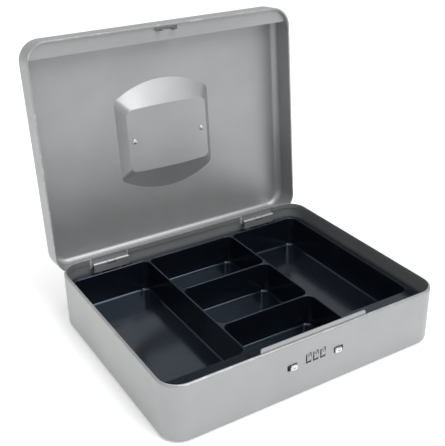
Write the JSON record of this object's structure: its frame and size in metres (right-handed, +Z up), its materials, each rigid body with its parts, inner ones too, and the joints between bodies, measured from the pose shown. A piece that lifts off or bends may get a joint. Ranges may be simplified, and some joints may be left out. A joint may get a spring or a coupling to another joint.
{
  "type": "cash box",
  "caption": "Locking steel cash box with a hinged lid, a folding carrying handle, a dial lock with slide buttons and a lift-out tray for coins and banknotes.",
  "frame": {"origin": "centre of the base's underside", "axes": "+X to the box's right seen from the front, -Y out of the front face, +Z up; stored with the lid open"},
  "size_m": [0.3, 0.2915, 0.2864],
  "materials": {
    "painted_steel": "satin silver-grey powder coat",
    "black_plastic": "glossy black moulded plastic",
    "bright_chrome": "polished plating",
    "zinc_plate": "zinc-plated steel",
    "spring_steel": "bright drawn spring steel",
    "dial_face": "satin grey with dark figures"
  },
  "bodies": {
    "box": {"body_shell": "painted_steel", "lock_guard_plate": "painted_steel", "lock_case": "zinc_plate", "lock_case_rivets": "zinc_plate", "dial_shaft": "zinc_plate", "dial_detent_spring": "spring_steel", "latch_spring_left": "spring_steel", "latch_spring_right": "spring_steel", "hinge_bracket_left": "painted_steel", "hinge_bracket_right": "painted_steel", "hinge_pin_left": "zinc_plate", "hinge_pin_right": "zinc_plate", "hinge_bracket_rivets": "painted_steel"},
    "lid": {"lid_shell": "painted_steel", "strike_angle": "painted_steel", "hinge_leaf_left": "painted_steel", "hinge_leaf_right": "painted_steel", "hinge_leaf_rivets": "painted_steel", "handle_bracket_left": "zinc_plate", "handle_bracket_right": "zinc_plate", "handle_rivets": "zinc_plate"},
    "tray": {"tray_bill_bay_left": "black_plastic", "tray_bill_bay_right": "black_plastic", "tray_coin_bay_rear": "black_plastic", "tray_coin_bay_middle": "black_plastic", "tray_coin_bay_front": "black_plastic", "tray_rear_ledge": "black_plastic"},
    "handle": {"handle_bail": "bright_chrome"},
    "left_latch": {"latch_slide_left": "zinc_plate", "latch_button_left": "bright_chrome"},
    "right_latch": {"latch_slide_right": "zinc_plate", "latch_button_right": "bright_chrome"},
    "left_dial": {"number_dial_left": "dial_face", "dial_hub_left": "zinc_plate"},
    "centre_dial": {"number_dial_centre": "dial_face", "dial_hub_centre": "zinc_plate"},
    "right_dial": {"number_dial_right": "dial_face", "dial_hub_right": "zinc_plate"}
  },
  "joints": [
    {"name": "lid_hinge", "type": "hinge", "parent": "box", "child": "lid", "pos_m": [0, 0.1142, 0.05355], "axis": [-1, 0, 0], "range_deg": [-94.7, 0]},
    {"name": "tray_lift", "type": "slide", "parent": "box", "child": "tray", "axis": [0, 0, 1], "range_m": [0, 0.12]},
    {"name": "left_latch_slide", "type": "slide", "parent": "box", "child": "left_latch", "axis": [-1, 0, 0], "range_m": [0, 0.002], "stiffness_N_per_m": 400, "deforming": ["latch_spring_left"]},
    {"name": "right_latch_slide", "type": "slide", "parent": "box", "child": "right_latch", "axis": [1, 0, 0], "range_m": [0, 0.002], "stiffness_N_per_m": 400, "deforming": ["latch_spring_right"]},
    {"name": "left_dial_turn", "type": "hinge", "parent": "box", "child": "left_dial", "pos_m": [-0.008, -0.1138, 0.0378], "axis": [1, 0, 0], "continuous": true},
    {"name": "centre_dial_turn", "type": "hinge", "parent": "box", "child": "centre_dial", "pos_m": [0, -0.1138, 0.0378], "axis": [1, 0, 0], "continuous": true},
    {"name": "right_dial_turn", "type": "hinge", "parent": "box", "child": "right_dial", "pos_m": [0.008, -0.1138, 0.0378], "axis": [1, 0, 0], "continuous": true},
    {"name": "handle_swing", "type": "hinge", "parent": "lid", "child": "handle", "pos_m": [0, 0.1545, 0.16482], "axis": [1, 0, 0], "range_deg": [-4.7, 175.3]}
  ]
}
